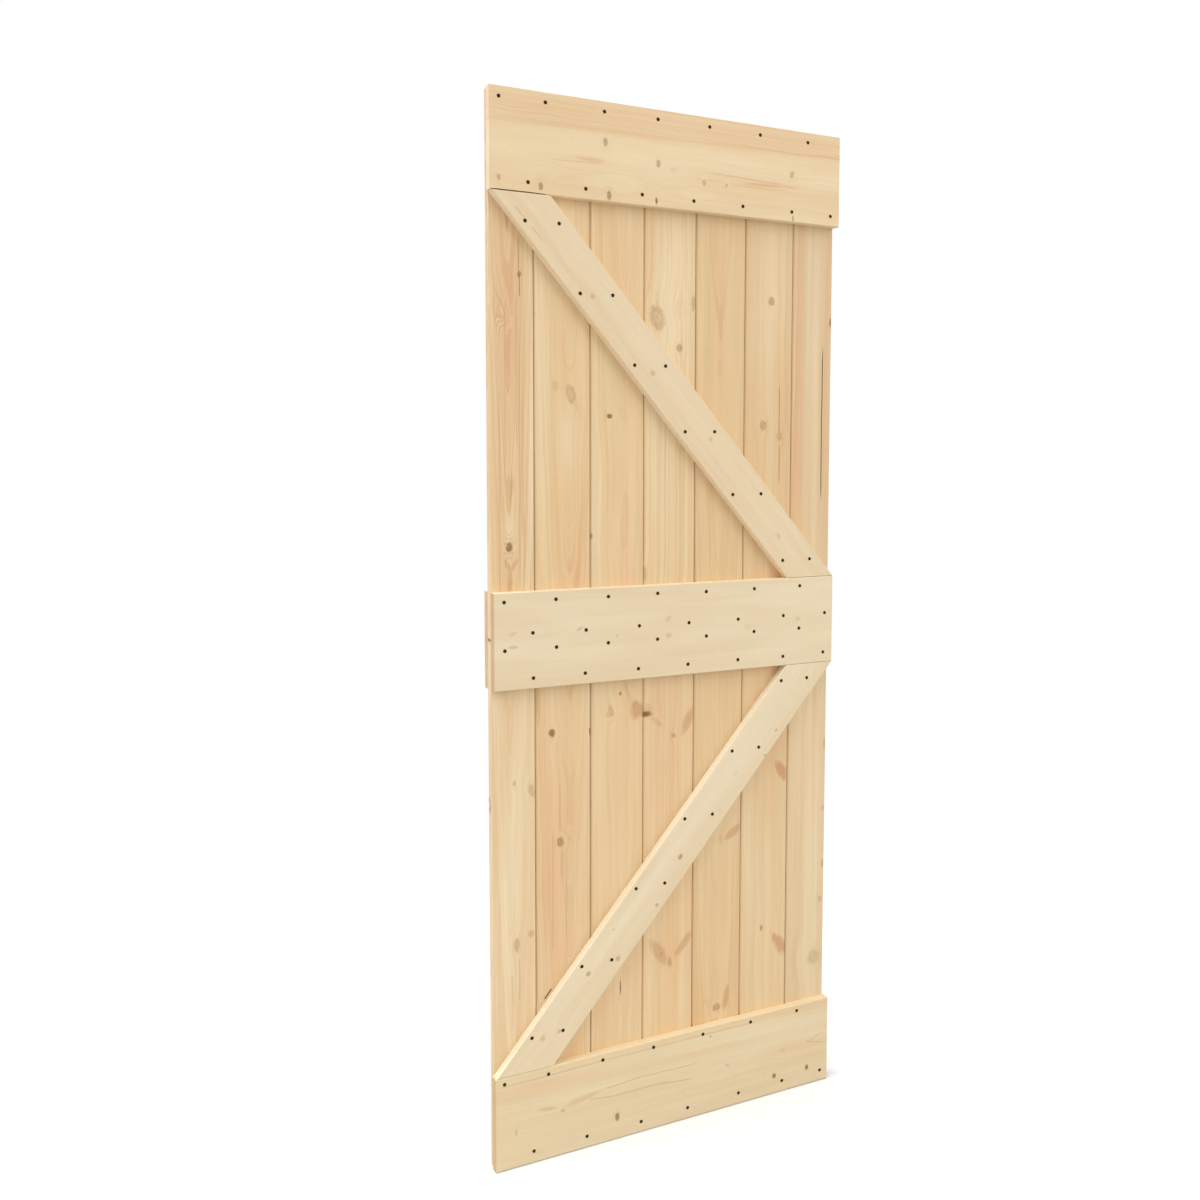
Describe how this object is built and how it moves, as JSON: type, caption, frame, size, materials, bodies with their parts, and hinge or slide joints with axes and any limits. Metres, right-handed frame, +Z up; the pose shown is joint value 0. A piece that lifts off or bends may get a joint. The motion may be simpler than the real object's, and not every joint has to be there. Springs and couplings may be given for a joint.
{
  "type": "ledged and braced plank door leaf for a sliding door",
  "caption": "Plank door leaf for a sliding door: upright tongue-and-groove softwood boards held by front rails, slanting braces and one rail on the back.",
  "frame": {"origin": "centre of the top rail's front face, where the hanging gear bolts on", "axes": "+Z up along the boards, -Y out of the front face with the rails and braces, +X to the right seen from the front"},
  "size_m": [0.8, 0.054, 2.1],
  "materials": {
    "board_wood": "planed, unfinished pine",
    "rail_wood": "planed, unfinished pine",
    "brace_wood": "planed, unfinished pine",
    "screw_steel": "dull steel screw heads"
  },
  "bodies": {
    "root": {"board_1": "board_wood", "board_2": "board_wood", "board_3": "board_wood", "board_4": "board_wood", "board_5": "board_wood", "board_6": "board_wood", "board_7": "board_wood", "top_rail": "rail_wood", "middle_rail": "rail_wood", "bottom_rail": "rail_wood", "upper_brace": "brace_wood", "lower_brace": "brace_wood", "back_middle_rail": "rail_wood"}
  },
  "joints": []
}
